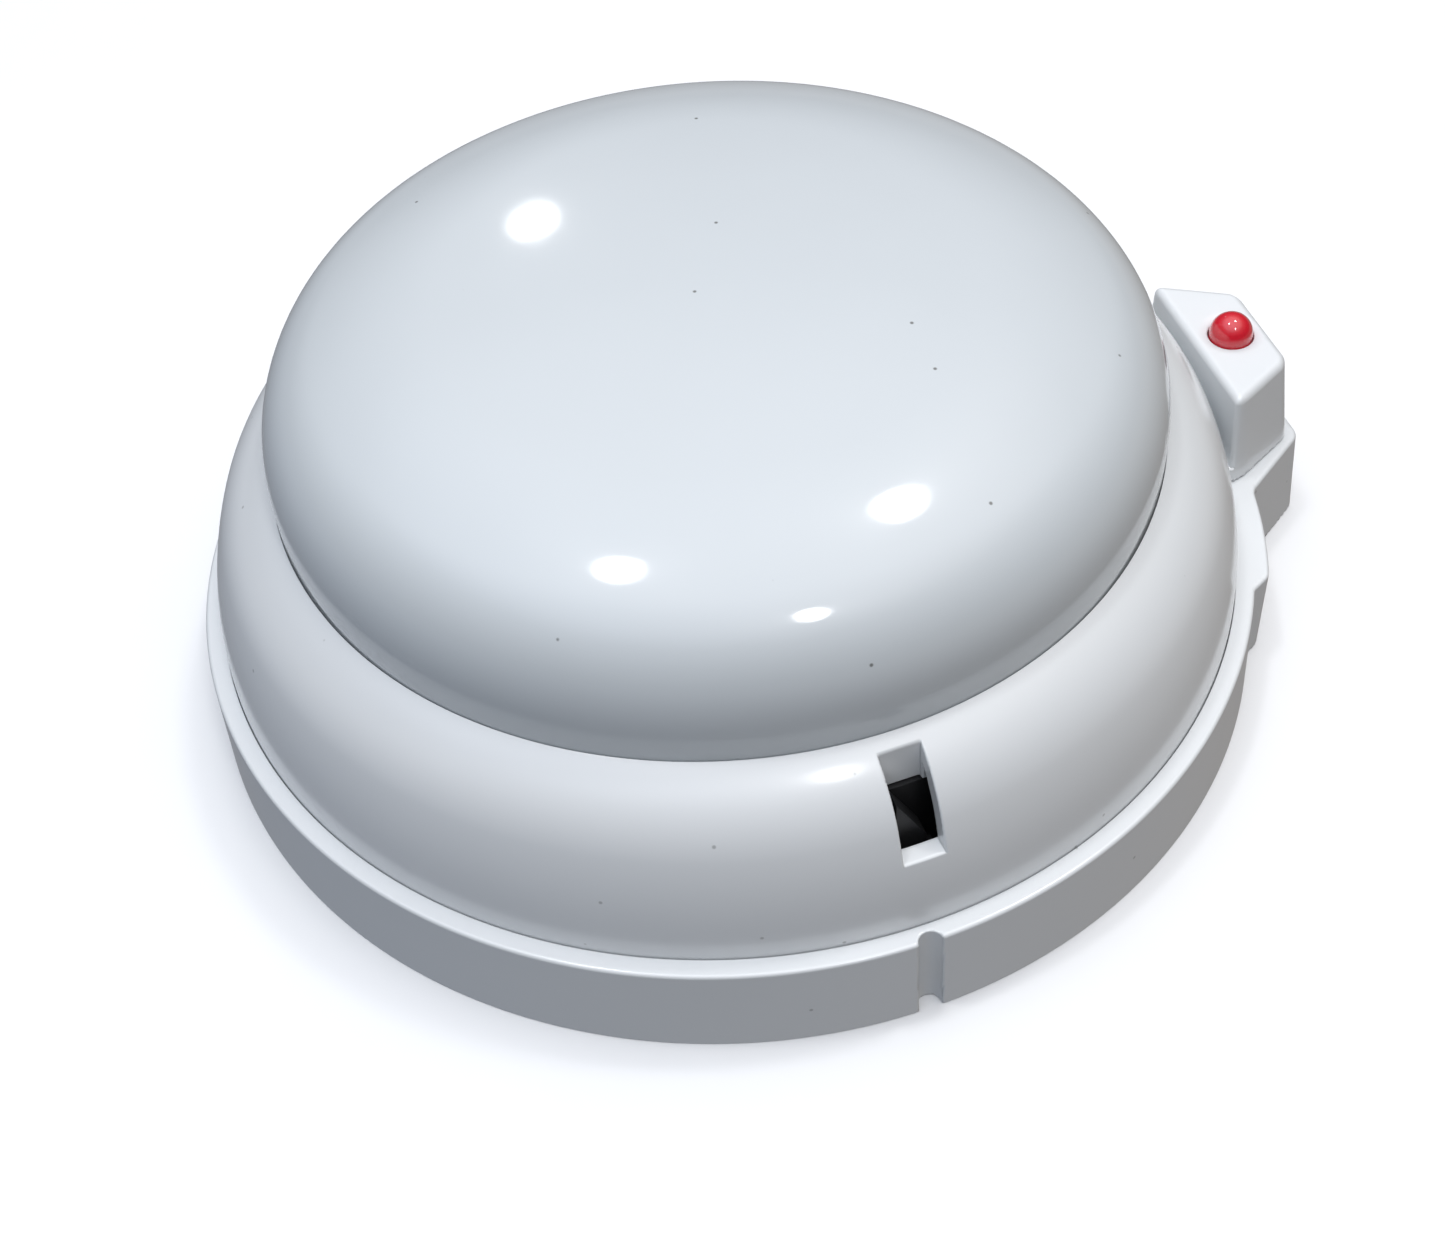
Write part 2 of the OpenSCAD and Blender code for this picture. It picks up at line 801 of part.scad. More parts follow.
base_shell();
around([terminal_angles[0]]) base_contact();  // base_contact_1
around([terminal_angles[1]]) base_contact();  // base_contact_2
around([terminal_angles[2]]) base_contact();  // base_contact_3
around([terminal_angles[3]]) base_contact();  // base_contact_4
terminal_screws();
clamp_washers();
contact_rivets();
head_ring();
head_carrier();
lock_slide();
around([terminal_angles[0]]) head_blade();  // head_blade_1
around([terminal_angles[1]]) head_blade();  // head_blade_2
around([terminal_angles[2]]) head_blade();  // head_blade_3
around([terminal_angles[3]]) head_blade();  // head_blade_4
blade_rivets();
ring_screws();
chamber_screws();
chamber_dome();
chamber_gasket();
chamber_plate();
leak_orifice();
diaphragm();
diaphragm_pusher();
diaphragm_clamp_ring();
clamp_ring_rivets();
contact_block();
contact_leaf();
moving_contact();
leaf_clamp_plate();
contact_block_screws();
fixed_contact_bracket();
adjusting_screw();
adjusting_lock_nut();
circuit_board();
board_screws();
resistors();
diode();
thyristor();
jumper_wires();
indicator_led();
led_leads();
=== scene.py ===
"""Looks of the heat detector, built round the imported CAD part.

Lengths in this script are millimetres until a mesh is made. The CAD frame is used throughout:
+Z runs from the mounting face to the dome, and +X from the axis to the lamp block.
"""

import json
import math

import bpy
import numpy as np
from mathutils import Matrix, Vector


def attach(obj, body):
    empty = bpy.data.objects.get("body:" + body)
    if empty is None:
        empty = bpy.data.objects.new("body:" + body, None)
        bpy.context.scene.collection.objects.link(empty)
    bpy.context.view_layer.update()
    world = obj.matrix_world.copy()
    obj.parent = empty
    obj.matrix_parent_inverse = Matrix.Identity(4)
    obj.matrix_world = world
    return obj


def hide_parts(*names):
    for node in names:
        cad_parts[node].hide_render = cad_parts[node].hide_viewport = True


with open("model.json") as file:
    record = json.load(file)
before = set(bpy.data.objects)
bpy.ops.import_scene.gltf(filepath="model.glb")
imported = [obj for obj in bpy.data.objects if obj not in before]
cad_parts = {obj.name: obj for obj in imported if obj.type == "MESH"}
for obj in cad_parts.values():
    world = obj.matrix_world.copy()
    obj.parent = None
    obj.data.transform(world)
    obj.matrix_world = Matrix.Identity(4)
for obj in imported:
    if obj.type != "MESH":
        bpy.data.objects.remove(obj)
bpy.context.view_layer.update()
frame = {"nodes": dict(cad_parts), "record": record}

MM = 0.001

# ---- sizes shared with the CAD model ----

RIM_R, RIM_Z, RIM_DRAFT = 52.2, 10.0, 0.35
WALL_IN_R, IN_WALL_R = 50.36, 51
FLOOR = 2.5
CABLE_HOLE_R = 13.0
SLOT_AT, SLOT_LENGTH, SLOT_WIDTH = 33.0, 10.0, 4.5
HOOK_ANGLES = (30, 150, 270)
HOOK_SPAN = 13.5
HOOK_IN_R, HOOK_Z = 48.6, (6.4, 7.9)
TERMINAL_ANGLES = (45, 135, 225, 315)
PAD_U, PAD_HALF, PAD_TOP = (22, 36), 5, 3.8
SCREW_U, RIVET_U = 28.0, 33.2
WING_R, WING_HALF, WING_END = 53.55, 26, 29
MARK_ANGLE, NOTCH_ANGLE, MARK_R, MARK_AT = -87, -87.7, 1.1, 52.25
COLLAR_WALL, COLLAR_TOP = 1.5, FLOOR + 3
SLOT_PAD_WALL = 2.5
RIB_U, RIB_V = (44, 46.3), (1.7, 3.3)
SCREW_HOLE_R, SCREW_HOLE_BOTTOM, RIVET_HOLE_R = 1.5, 0.8, 0.9
# heights well past the base's faces, for cuts that go right through, and one inside its floor
THROUGH, IN_FLOOR = 9, 1

# plan corners (u, v) of the base's foot for the lamp block, and of the hollow under it
BASE_BLOCK_FOOT, BASE_BLOCK_TOP = ((46, 17.4), (60.7, 6.7)), ((46, 16.75), (60.1, 6.35))
CORE_PLAN, CORE_TOP = ((53.4, 9.6), (58.2, 5.6)), 8.2

LOW_ARC_R, HIGH_ARC_R, JOIN_ANGLE = 28.0, 11.0, 22
LOW_CENTRE = np.array([50.3 - LOW_ARC_R, 10.2])
TO_JOIN = np.array([math.cos(math.radians(JOIN_ANGLE)), math.sin(math.radians(JOIN_ANGLE))])
HIGH_CENTRE = LOW_CENTRE + (LOW_ARC_R - HIGH_ARC_R) * TO_JOIN
RING_WALL, FOOT_Z = 1.8, 8.2
LIP_IN_R, LIP_OUT_R, LIP_BOTTOM = 42.22, 44.2, 21.5
LOCK_SLOT_W, SLOT_IN_R, LEDGE_Z = 3.8, 43.65, 17.65

BLOCK_TOP_Z, BLOCK_FOOT_Z, BLOCK_FACE = 20.3, 10.15, 50.3
BLOCK_FOOT, BLOCK_TOP = ((51.2, 10.65), (59.0, 6.2)), ((50.3, 9.95), (57.8, 5.65))
BLOCK_ROOT = 46
GROOVE_Z, BRIDGE_Z, BRIDGE_HALF = 11.8, 14.5, 3.0
DISH_R, DISH_RISE = 6, 5.3
LAMP_U, LAMP_R, LAMP_Z = 54.3, 2.2, 20.3

DOME_R, DOME_WALL_Z, SHOULDER_R, HAUNCH_R = 42.2, 29.9, 10.5, 35.0
HAUNCH_LEAN, CROWN_LEAN = math.radians(25), math.radians(6)
SHEET = 0.8
CRIMP_Z, CRIMP_IN_R, PLATE_TOP = (17.5, 18.3), 39.5, 19.9


# ---- distance functions: negative inside, in mm ----


def both(a, b, radius):
    """The overlap of two shapes, with its new edge rounded to that radius."""
    corner = np.hypot(np.maximum(a + radius, 0), np.maximum(b + radius, 0))
    return np.minimum(np.maximum(a, b), -radius) + corner


def either(a, b, radius):
    """Two shapes joined, with a fillet of that radius."""
    return -both(-a, -b, radius)


def cut(a, b, radius):
    """Shape a without shape b, with the new edge rounded to that radius."""
    return both(a, -b, radius)


def turned(x, y, angle):
    """The same point measured along (u) and across (v) the direction at that angle."""
    c, s = math.cos(math.radians(angle)), math.sin(math.radians(angle))
    return x * c + y * s, y * c - x * s


def slab(value, low, high):
    return np.maximum(low - value, value - high)


def box(u, v, z, us, vs, zs, radius=0.0):
    return both(both(slab(u, *us), slab(v, *vs), radius), slab(z, *zs), radius)


def disc(u, v, z, radius, zs):
    return np.maximum(np.hypot(u, v) - radius, slab(z, *zs))


def side_wall(u, v, z, foot, top, z_foot, z_top):
    """One sloping side of a block, through the plan points foot (at z_foot) and top (at z_top).

    Each is ((u, v) inner, (u, v) outer), and the side faces away from v = 0.
    """
    (u0, v0), (u1, v1) = foot
    p1, q1 = top[1]
    along = np.array([u1 - u0, v1 - v0, 0.0])
    up = np.array([p1 - u1, q1 - v1, z_top - z_foot])
    normal = np.cross(up, along)
    normal /= np.linalg.norm(normal)
    if normal[1] < 0:
        normal = -normal
    return (u - u1) * normal[0] + (np.abs(v) - v1) * normal[1] + (z - z_foot) * normal[2]


def end_wall(u, z, u_foot, u_top, z_foot, z_top):
    """The sloping outer end of a block."""
    rise, run = z_top - z_foot, u_top - u_foot
    length = math.hypot(rise, run)
    return ((u - u_foot) * rise - (z - z_foot) * run) / length


# ---- base ----


def base_block(x, y, z):
    side = side_wall(x, y, z, BASE_BLOCK_FOOT, BASE_BLOCK_TOP, 0, RIM_Z)
    end = end_wall(x, z, BASE_BLOCK_FOOT[1][0], BASE_BLOCK_TOP[1][0], 0, RIM_Z)
    return np.maximum(both(side, end, 0.7), 47 - x)


def wing(x, y, z):
    ends = (RIM_R - 0.5) * np.array([math.cos(math.radians(WING_END)), math.sin(math.radians(WING_END))])
    corner = WING_R * np.array([math.cos(math.radians(WING_HALF)), math.sin(math.radians(WING_HALF))])
    along = (corner - ends) / np.linalg.norm(corner - ends)
    run_out = (np.abs(y) - ends[1]) * along[0] - (x - ends[0]) * along[1]
    return np.maximum(both(np.hypot(x, y) - WING_R, run_out, 0.3), 40 - x)


def hook_sector(x, y, z, angle, radii, zs):
    """The sector of a ring that the bayonet hook at that angle spans."""
    r = np.hypot(x, y)
    u, v = turned(x, y, angle)
    across = (np.abs(np.degrees(np.arctan2(v, u))) - HOOK_SPAN / 2) * np.radians(1) * r
    return np.maximum(np.maximum(slab(r, *radii), slab(z, *zs)), across)


def base_distance(x, y, z):
    r = np.hypot(x, y)
    rim = r - (RIM_R + RIM_DRAFT * (1 - z / RIM_Z))
    outer = either(np.minimum(rim, wing(x, y, z)), base_block(x, y, z), 0.4)
    body = both(outer, z - RIM_Z, 0.32)
    body = np.maximum(body, -z)
    body = cut(body, np.maximum(r - WALL_IN_R, FLOOR - z), 0.06)

    core_side = side_wall(x, y, z, CORE_PLAN, CORE_PLAN, 0, CORE_TOP)
    core_ends = slab(x, CORE_PLAN[0][0], CORE_PLAN[1][0])
    core = np.maximum(np.maximum(core_side, core_ends), slab(z, -THROUGH, CORE_TOP))
    body = np.maximum(body, -core)

    added = disc(x, y, z, CABLE_HOLE_R + COLLAR_WALL, (IN_FLOOR, COLLAR_TOP))
    slot = np.hypot(np.maximum(np.abs(np.abs(x) - SLOT_AT) - (SLOT_LENGTH - SLOT_WIDTH) / 2, 0), y)
    slot_pad = np.maximum(slot - SLOT_WIDTH / 2 - SLOT_PAD_WALL, slab(z, IN_FLOOR, FLOOR + 1))
    added = np.minimum(added, slot_pad)
    for angle in TERMINAL_ANGLES:
        u, v = turned(x, y, angle)
        added = np.minimum(added, box(u, v, z, PAD_U, (-PAD_HALF, PAD_HALF), (IN_FLOOR, PAD_TOP)))
    for angle in HOOK_ANGLES:
        added = np.minimum(added, hook_sector(x, y, z, angle, (HOOK_IN_R, IN_WALL_R), HOOK_Z))
    u, v = turned(x, y, MARK_ANGLE)
    added = np.minimum(added, box(u, np.abs(v), z, RIB_U, RIB_V, (IN_FLOOR, COLLAR_TOP)))
    body = either(body, added, 0.2)

    u, v = turned(x, y, NOTCH_ANGLE)
    body = cut(body, np.hypot(u - MARK_AT, v) - MARK_R, 0.14)
    body = cut(body, r - CABLE_HOLE_R, 0.2)
    body = cut(body, slot - SLOT_WIDTH / 2, 0.15)
    window_radii = (HOOK_IN_R - 0.2, WALL_IN_R + 0.2)
    for angle in HOOK_ANGLES:
        body = np.maximum(body, -hook_sector(x, y, z, angle, window_radii, (-THROUGH, FLOOR + 1)))
    for angle in TERMINAL_ANGLES:
        u, v = turned(x, y, angle)
        holes = np.minimum(
            disc(u - SCREW_U, v, z, SCREW_HOLE_R, (SCREW_HOLE_BOTTOM, THROUGH)),
            disc(u - RIVET_U, v, z, RIVET_HOLE_R, (-THROUGH, THROUGH)),
        )
        body = np.maximum(body, -holes)
    return body


# ---- head ring ----


def under_ring(r, z):
    """Distance to the ring's outer surface, two arcs that meet in one tangent."""
    low = np.stack([r - LOW_CENTRE[0], z - LOW_CENTRE[1]])
    high = np.stack([r - HIGH_CENTRE[0], z - HIGH_CENTRE[1]])
    below_join = low[1] * TO_JOIN[0] - low[0] * TO_JOIN[1] < 0
    return np.where(
        below_join,
        np.hypot(low[0], low[1]) - LOW_ARC_R,
        np.hypot(high[0], high[1]) - HIGH_ARC_R,
    )


def lamp_block(x, y, z):
    side = side_wall(x, y, z, BLOCK_FOOT, BLOCK_TOP, BLOCK_FOOT_Z, BLOCK_TOP_Z)
    down = (BLOCK_TOP_Z - z) / (BLOCK_TOP_Z - BLOCK_FOOT_Z)
    flank = np.abs(y) - BLOCK_TOP[0][1] - (BLOCK_FOOT[0][1] - BLOCK_TOP[0][1]) * down
    end = end_wall(x, z, BLOCK_FOOT[1][0], BLOCK_TOP[1][0], BLOCK_FOOT_Z, BLOCK_TOP_Z)
    plan = both(both(side, end, 1.1), flank, 0.9)
    tall = both(plan, BLOCK_FACE - x, 0.8)
    floor_of_groove = np.minimum(z - GROOVE_Z, np.maximum(z - BRIDGE_Z, np.abs(y) - BRIDGE_HALF))
    low = np.maximum(np.maximum(plan, BLOCK_ROOT - x), floor_of_groove)
    block = both(np.minimum(tall, low), z - BLOCK_TOP_Z, 0.8)
    return np.maximum(block, BLOCK_FOOT_Z - z)


def ring_distance(x, y, z):
    r = np.hypot(x, y)
    outer = under_ring(r, z)
    body = np.maximum(outer, FOOT_Z - z)
    body = either(body, np.maximum(lamp_block(x, y, z), -outer - RING_WALL / 2), 0.7)
    body = both(body, LIP_IN_R - r, 0.08)
    hollow = np.maximum(outer + RING_WALL, LIP_OUT_R - r)
    under_lip = np.maximum(r - LIP_OUT_R - 0.01, z - LIP_BOTTOM)
    body = np.maximum(body, -np.minimum(hollow, under_lip))

    dish = np.hypot(np.hypot(x - LAMP_U, y), z - BLOCK_TOP_Z - DISH_RISE) - DISH_R
    body = cut(body, dish, 0.25)
    body = cut(body, disc(x - LAMP_U, y, z, LAMP_R + 0.1, (15, 30)), 0.1)

    u, v = turned(x, y, MARK_ANGLE)
    half = LOCK_SLOT_W / 2
    opening = np.maximum(np.maximum(SLOT_IN_R - u, np.abs(v) - half), LEDGE_Z - z)
    return cut(body, opening, 0.16)


# ---- meshing ----


COARSER = 1


def grid(*spans):
    """Rising values: each span is (start, stop, step), and spans that touch share their ends."""
    values = []
    for start, stop, step in spans:
        count = max(1, round((stop - start) / step / COARSER))
        values.extend(start + (stop - start) * i / count for i in range(count))
    return np.array(values + [spans[-1][1]])


def gradient(distance, p, step=0.02):
    """Slope of the distance at each point, by central differences."""
    slope = np.empty_like(p)
    for axis in range(3):
        shift = np.zeros(3)
        shift[axis] = step
        slope[:, axis] = (distance(*(p + shift).T) - distance(*(p - shift).T)) / (2 * step)
    return slope


def surface(distance, angles, radii, heights):
    """Points and quads of the surface where the distance is zero, on cells round the axis.

    Each cell that the surface passes through gets one point, and each grid edge that it crosses
    gets one quad between the four cells round that edge. The angles are a full turn in degrees.
    """
    a = np.radians(angles[:-1])
    shape = (len(a), len(radii), len(heights))
    cos, sin = np.cos(a)[:, None, None], np.sin(a)[:, None, None]
    rr, zz = radii[None, :, None], heights[None, None, :]
    full = np.ones(shape)
    nodes = np.stack([rr * cos * full, rr * sin * full, zz * full], axis=-1)
    d = distance(nodes[..., 0], nodes[..., 1], nodes[..., 2])
    cells = (shape[0], shape[1] - 1, shape[2] - 1)

    def cell(i, j, k):
        return ((i % cells[0]) * cells[1] + j) * cells[2] + k

    total = np.zeros((cells[0] * cells[1] * cells[2], 4))
    quads = []
    for axis in range(3):
        if axis == 0:
            after_d, after_p = np.roll(d, -1, axis=0), np.roll(nodes, -1, axis=0)
            d0, p0 = d, nodes
        else:
            keep = [slice(None)] * 3
            keep[axis] = slice(1, None)
            after_d, after_p = d[tuple(keep)], nodes[tuple(keep)]
            keep[axis] = slice(0, -1)
            d0, p0 = d[tuple(keep)], nodes[tuple(keep)]
        crossing = (d0 < 0) != (after_d < 0)
        for other in (1, 2):
            if other != axis:
                edge = [slice(None)] * 3
                edge[other] = [0, -1]
                crossing[tuple(edge)] = False
        i, j, k = np.nonzero(crossing)
        share = d0[i, j, k] / (d0[i, j, k] - after_d[i, j, k])
        points = p0[i, j, k] + share[:, None] * (after_p[i, j, k] - p0[i, j, k])
        if axis == 0:
            ring = [cell(i, j - 1, k - 1), cell(i, j, k - 1), cell(i, j, k), cell(i, j - 1, k)]
        elif axis == 1:
            ring = [cell(i - 1, j, k - 1), cell(i - 1, j, k), cell(i, j, k), cell(i, j, k - 1)]
        else:
            ring = [cell(i - 1, j - 1, k), cell(i, j - 1, k), cell(i, j, k), cell(i - 1, j, k)]
        for c in ring:
            for column in range(3):
                total[:, column] += np.bincount(c, points[:, column], len(total))
            total[:, 3] += np.bincount(c, minlength=len(total))
        quad = np.stack(ring, axis=1)
        entering = d0[i, j, k] < 0
        quad[entering] = quad[entering][:, ::-1]
        quads.append(quad)
    quads = np.concatenate(quads)
    used, quads = np.unique(quads, return_inverse=True)
    quads = quads.reshape(-1, 4)
    points = total[used, :3] / total[used, 3:]
    for _ in range(4):
        slope = gradient(distance, points)
        size = np.maximum((slope**2).sum(axis=1), 0.2)
        step = slope * (distance(*points.T) / size)[:, None]
        length = np.linalg.norm(step, axis=1, keepdims=True)
        points -= step * np.minimum(1, 0.2 / np.maximum(length, 1e-9))
    return points, quads


def new_object(name, points, faces, normals=None):
    """A mesh object from points in mm, smooth shaded."""
    mesh = bpy.data.meshes.new(name)
    mesh.from_pydata((np.asarray(points) * MM).tolist(), [], faces)
    mesh.validate()
    mesh.shade_smooth()
    if normals is not None:
        mesh.normals_split_custom_set_from_vertices(normals.tolist())
    made = bpy.data.objects.new(name, mesh)
    bpy.context.scene.collection.objects.link(made)
    return made


def moulded(name, distance, angles, radii, heights):
    """A piece whose surface is where the distance function is zero."""
    points, quads = surface(distance, angles, radii, heights)
    slope = gradient(distance, points)
    slope /= np.maximum(np.linalg.norm(slope, axis=1, keepdims=True), 1e-9)
    return new_object(name, points, quads.tolist(), slope)


def revolved(name, profile, steps=256):
    """A closed solid of revolution, from a profile of (radius, height) points.

    Both ends of the profile lie on the axis, or else its last point joins its first.
    """
    profile = np.asarray(profile, float)
    looped = not (profile[0][0] < 1e-6 and profile[-1][0] < 1e-6)
    angles = np.arange(steps) * 2 * math.pi / steps
    points, rows = [], []
    for radius, height in profile:
        if radius < 1e-6:
            rows.append([len(points)] * steps)
            points.append((0, 0, height))
        else:
            rows.append(list(range(len(points), len(points) + steps)))
            points.extend((radius * math.cos(t), radius * math.sin(t), height) for t in angles)
    faces = []
    for n in range(len(rows) if looped else len(rows) - 1):
        inner, outer = rows[n], rows[(n + 1) % len(rows)]
        for i in range(steps):
            corners = [inner[i], inner[(i + 1) % steps], outer[(i + 1) % steps], outer[i]]
            faces.append(list(dict.fromkeys(corners)))
    return new_object(name, points, faces)


def arc(centre, radius, start, stop, count):
    """Points round a centre, with the angles in degrees from +R towards +Z."""
    swing = np.radians(np.linspace(start, stop, count))
    return [(centre[0] + radius * math.cos(t), centre[1] + radius * math.sin(t)) for t in swing]


# ---- finishes ----


SPECK_SPACING, SPECK_R = 5.0, 0.22


def finish_material(
    name, colour, roughness, metallic=0.0, grain=0.3, relief=0.004, tint=0.04, specks=0.0, **sockets
):
    """A material whose colour, roughness and surface vary as the real finish does.

    grain is the size of its texture and relief the texture's height, both in mm.
    tint is how far the colour drifts, and specks is how dark its stray specks of dirt are.
    The sockets are values set straight on the shader.
    """
    made = bpy.data.materials.new(name)
    made.use_nodes = True
    nodes, links = made.node_tree.nodes, made.node_tree.links
    shader = nodes["Principled BSDF"]
    shader.inputs["Metallic"].default_value = metallic
    for socket, value in sockets.items():
        shader.inputs[socket.replace("_", " ").title().replace("Ior", "IOR")].default_value = value
    place = nodes.new("ShaderNodeTexCoord")

    def noise(size, detail):
        texture = nodes.new("ShaderNodeTexNoise")
        texture.inputs["Scale"].default_value = 1 / (size * MM)
        texture.inputs["Detail"].default_value = detail
        links.new(place.outputs["Object"], texture.inputs["Vector"])
        return texture.outputs["Fac"]

    drift = nodes.new("ShaderNodeMix")
    drift.data_type = "RGBA"
    drift.inputs["A"].default_value = (*[c * (1 - tint) for c in colour], 1)
    drift.inputs["B"].default_value = (*[min(1, c * (1 + tint)) for c in colour], 1)
    links.new(noise(14, 3), drift.inputs["Factor"])
    links.new(drift.outputs["Result"], shader.inputs["Base Color"])
    if specks:
        cells = nodes.new("ShaderNodeTexVoronoi")
        cells.inputs["Scale"].default_value = 1 / (SPECK_SPACING * MM)
        links.new(place.outputs["Object"], cells.inputs["Vector"])
        spot = nodes.new("ShaderNodeMapRange")
        spot.inputs["From Min"].default_value = 0.5 * SPECK_R / SPECK_SPACING
        spot.inputs["From Max"].default_value = SPECK_R / SPECK_SPACING
        spot.inputs["To Min"].default_value = specks
        spot.inputs["To Max"].default_value = 0
        links.new(cells.outputs["Distance"], spot.inputs["Value"])
        dirt = nodes.new("ShaderNodeMix")
        dirt.data_type = "RGBA"
        dirt.inputs["B"].default_value = (0.08, 0.08, 0.07, 1)
        links.new(drift.outputs["Result"], dirt.inputs["A"])
        links.new(spot.outputs["Result"], dirt.inputs["Factor"])
        links.new(dirt.outputs["Result"], shader.inputs["Base Color"])

    wear = nodes.new("ShaderNodeMapRange")
    wear.inputs["To Min"].default_value = roughness * 0.8
    wear.inputs["To Max"].default_value = roughness * 1.2
    links.new(noise(5, 4), wear.inputs["Value"])
    links.new(wear.outputs["Result"], shader.inputs["Roughness"])

    bump = nodes.new("ShaderNodeBump")
    bump.inputs["Strength"].default_value = 1
    bump.inputs["Distance"].default_value = relief * MM
    links.new(noise(grain, 2), bump.inputs["Height"])
    links.new(bump.outputs["Normal"], shader.inputs["Normal"])
    return made


def dome_arcs():
    """The dome's arcs from the axis outwards: (centre, radius, lean of the upper end, lean of the lower)."""
    shoulder = np.array([DOME_R - SHOULDER_R, DOME_WALL_Z])
    haunch = shoulder - (HAUNCH_R - SHOULDER_R) * np.array([math.sin(HAUNCH_LEAN), math.cos(HAUNCH_LEAN)])
    crown_r = HAUNCH_R + haunch[0] / math.sin(CROWN_LEAN)
    crown = haunch - (crown_r - HAUNCH_R) * np.array([math.sin(CROWN_LEAN), math.cos(CROWN_LEAN)])
    return [
        (crown, crown_r, 0.0, CROWN_LEAN),
        (haunch, HAUNCH_R, CROWN_LEAN, HAUNCH_LEAN),
        (shoulder, SHOULDER_R, HAUNCH_LEAN, math.pi / 2),
    ]


def put(piece, material):
    piece.data.materials.clear()
    piece.data.materials.append(material)


shell_plastic = finish_material(
    "shell_plastic",
    (0.72, 0.745, 0.76),
    0.35,
    grain=0.6,
    relief=0.002,
    tint=0.015,
    specks=0.45,
    coat_weight=0.8,
    coat_roughness=0.15,
)
dome_paint = finish_material(
    "dome_paint",
    (0.57, 0.61, 0.635),
    0.35,
    grain=2.2,
    relief=0.002,
    tint=0.015,
    specks=0.8,
    specular_ior_level=0.25,
    coat_weight=1.0,
    coat_roughness=0.075,
)
lens_red = finish_material(
    "lens_red", (0.75, 0.012, 0.03), 0.1, grain=0.8, relief=0.002, transmission_weight=0.2, coat_weight=1.0
)
black_plastic = finish_material(
    "black_plastic", (0.012, 0.012, 0.013), 0.5, grain=0.25, relief=0.01, tint=0.2
)

INNER_FINISHES = {
    "cream_plastic": dict(colour=(0.62, 0.54, 0.36), roughness=0.45),
    "brown_plastic": dict(colour=(0.12, 0.05, 0.025), roughness=0.4),
    "component_black": dict(colour=(0.02, 0.02, 0.022), roughness=0.42, relief=0.01),
    "board_green": dict(colour=(0.015, 0.12, 0.045), roughness=0.3, grain=0.9, tint=0.2),
    "resistor_body": dict(colour=(0.5, 0.36, 0.18), roughness=0.3),
    "wire_red": dict(colour=(0.4, 0.015, 0.015), roughness=0.35),
    "nickel": dict(colour=(0.62, 0.59, 0.52), roughness=0.3, metallic=1.0, grain=0.15),
    "steel": dict(colour=(0.55, 0.56, 0.58), roughness=0.35, metallic=1.0, grain=0.15),
    "silver": dict(colour=(0.85, 0.84, 0.80), roughness=0.2, metallic=1.0, grain=0.15),
    "brass": dict(colour=(0.70, 0.50, 0.20), roughness=0.3, metallic=1.0, grain=0.15),
    "bronze": dict(colour=(0.62, 0.36, 0.18), roughness=0.28, metallic=1.0, grain=0.2),
    "aluminium": dict(colour=(0.72, 0.73, 0.74), roughness=0.35, metallic=1.0, grain=0.2),
    "rubber": dict(colour=(0.02, 0.02, 0.02), roughness=0.7, grain=0.4, relief=0.01),
}
finishes = {slot: finish_material(slot, **values) for slot, values in INNER_FINISHES.items()}
finishes["black_plastic"] = black_plastic
finishes["white_plastic"] = shell_plastic
finishes["dome_paint"] = dome_paint
finishes["red_lens"] = lens_red
for subpart in frame["record"]["subparts"]:
    put(frame["nodes"][subpart["node"]], finishes[subpart["material_slot"]])


# ---- pieces ----

base = moulded(
    "base",
    base_distance,
    grid((0, 360, 0.5)),
    grid((12.3, 42, 0.4), (42, 50.1, 0.3), (50.1, 50.7, 0.1), (50.7, 54.5, 0.17), (54.5, 61.4, 0.3)),
    grid((-0.35, 9.2, 0.28), (9.2, 10.2, 0.1)),
)
put(base, shell_plastic)
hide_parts("base_shell")
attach(base, "base")

ring = moulded(
    "ring",
    ring_distance,
    grid((0, 15, 0.25), (15, 268, 0.75), (268, 278, 0.2), (278, 345, 0.75), (345, 360, 0.25)),
    grid((42, 42.9, 0.1), (42.9, 59.6, 0.24)),
    grid((7.9, 26.1, 0.24), (26.1, 27, 0.1)),
)
put(ring, shell_plastic)
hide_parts("head_ring")
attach(ring, "head")


def dome_profile():
    """The dome's sheet: crown, haunch, shoulder and wall outside, the crimp, then back up the inside."""

    def sheet_line(inset):
        line = []
        for centre, radius, high, low in dome_arcs():
            count = 8 + round(radius * (low - high))
            line += arc(centre, radius - inset, 90 - math.degrees(high), 90 - math.degrees(low), count)[:-1]
        return line + [(DOME_R - inset, DOME_WALL_Z)]

    crimp = [
        (DOME_R, CRIMP_Z[0]),
        (CRIMP_IN_R, CRIMP_Z[0]),
        (CRIMP_IN_R, CRIMP_Z[1]),
        (DOME_R - SHEET, CRIMP_Z[1]),
        (DOME_R - SHEET, PLATE_TOP),
        (DOME_R - 2 * SHEET, PLATE_TOP),
        (DOME_R - 2 * SHEET, PLATE_TOP + SHEET),
        (DOME_R - SHEET, PLATE_TOP + SHEET),
    ]
    return sheet_line(0) + crimp + sheet_line(SHEET)[::-1]


dome = revolved("dome", dome_profile(), 360)
put(dome, dome_paint)
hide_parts("chamber_dome")
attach(dome, "head")

FLANGE_R, FLANGE_Z = LAMP_R + 0.3, (LAMP_Z - 4, LAMP_Z - 3.1)
lens_line = [(0, FLANGE_Z[0]), (FLANGE_R, FLANGE_Z[0]), (FLANGE_R, FLANGE_Z[1]), (LAMP_R, FLANGE_Z[1])]
lens_line += arc((0, LAMP_Z), LAMP_R, 0, 90, 24)
lens_line[-1] = (0, LAMP_Z + LAMP_R)
lens = revolved("lens", lens_line, 64)
lens.data.transform(Matrix.Translation((LAMP_U * MM, 0, 0)))
put(lens, lens_red)
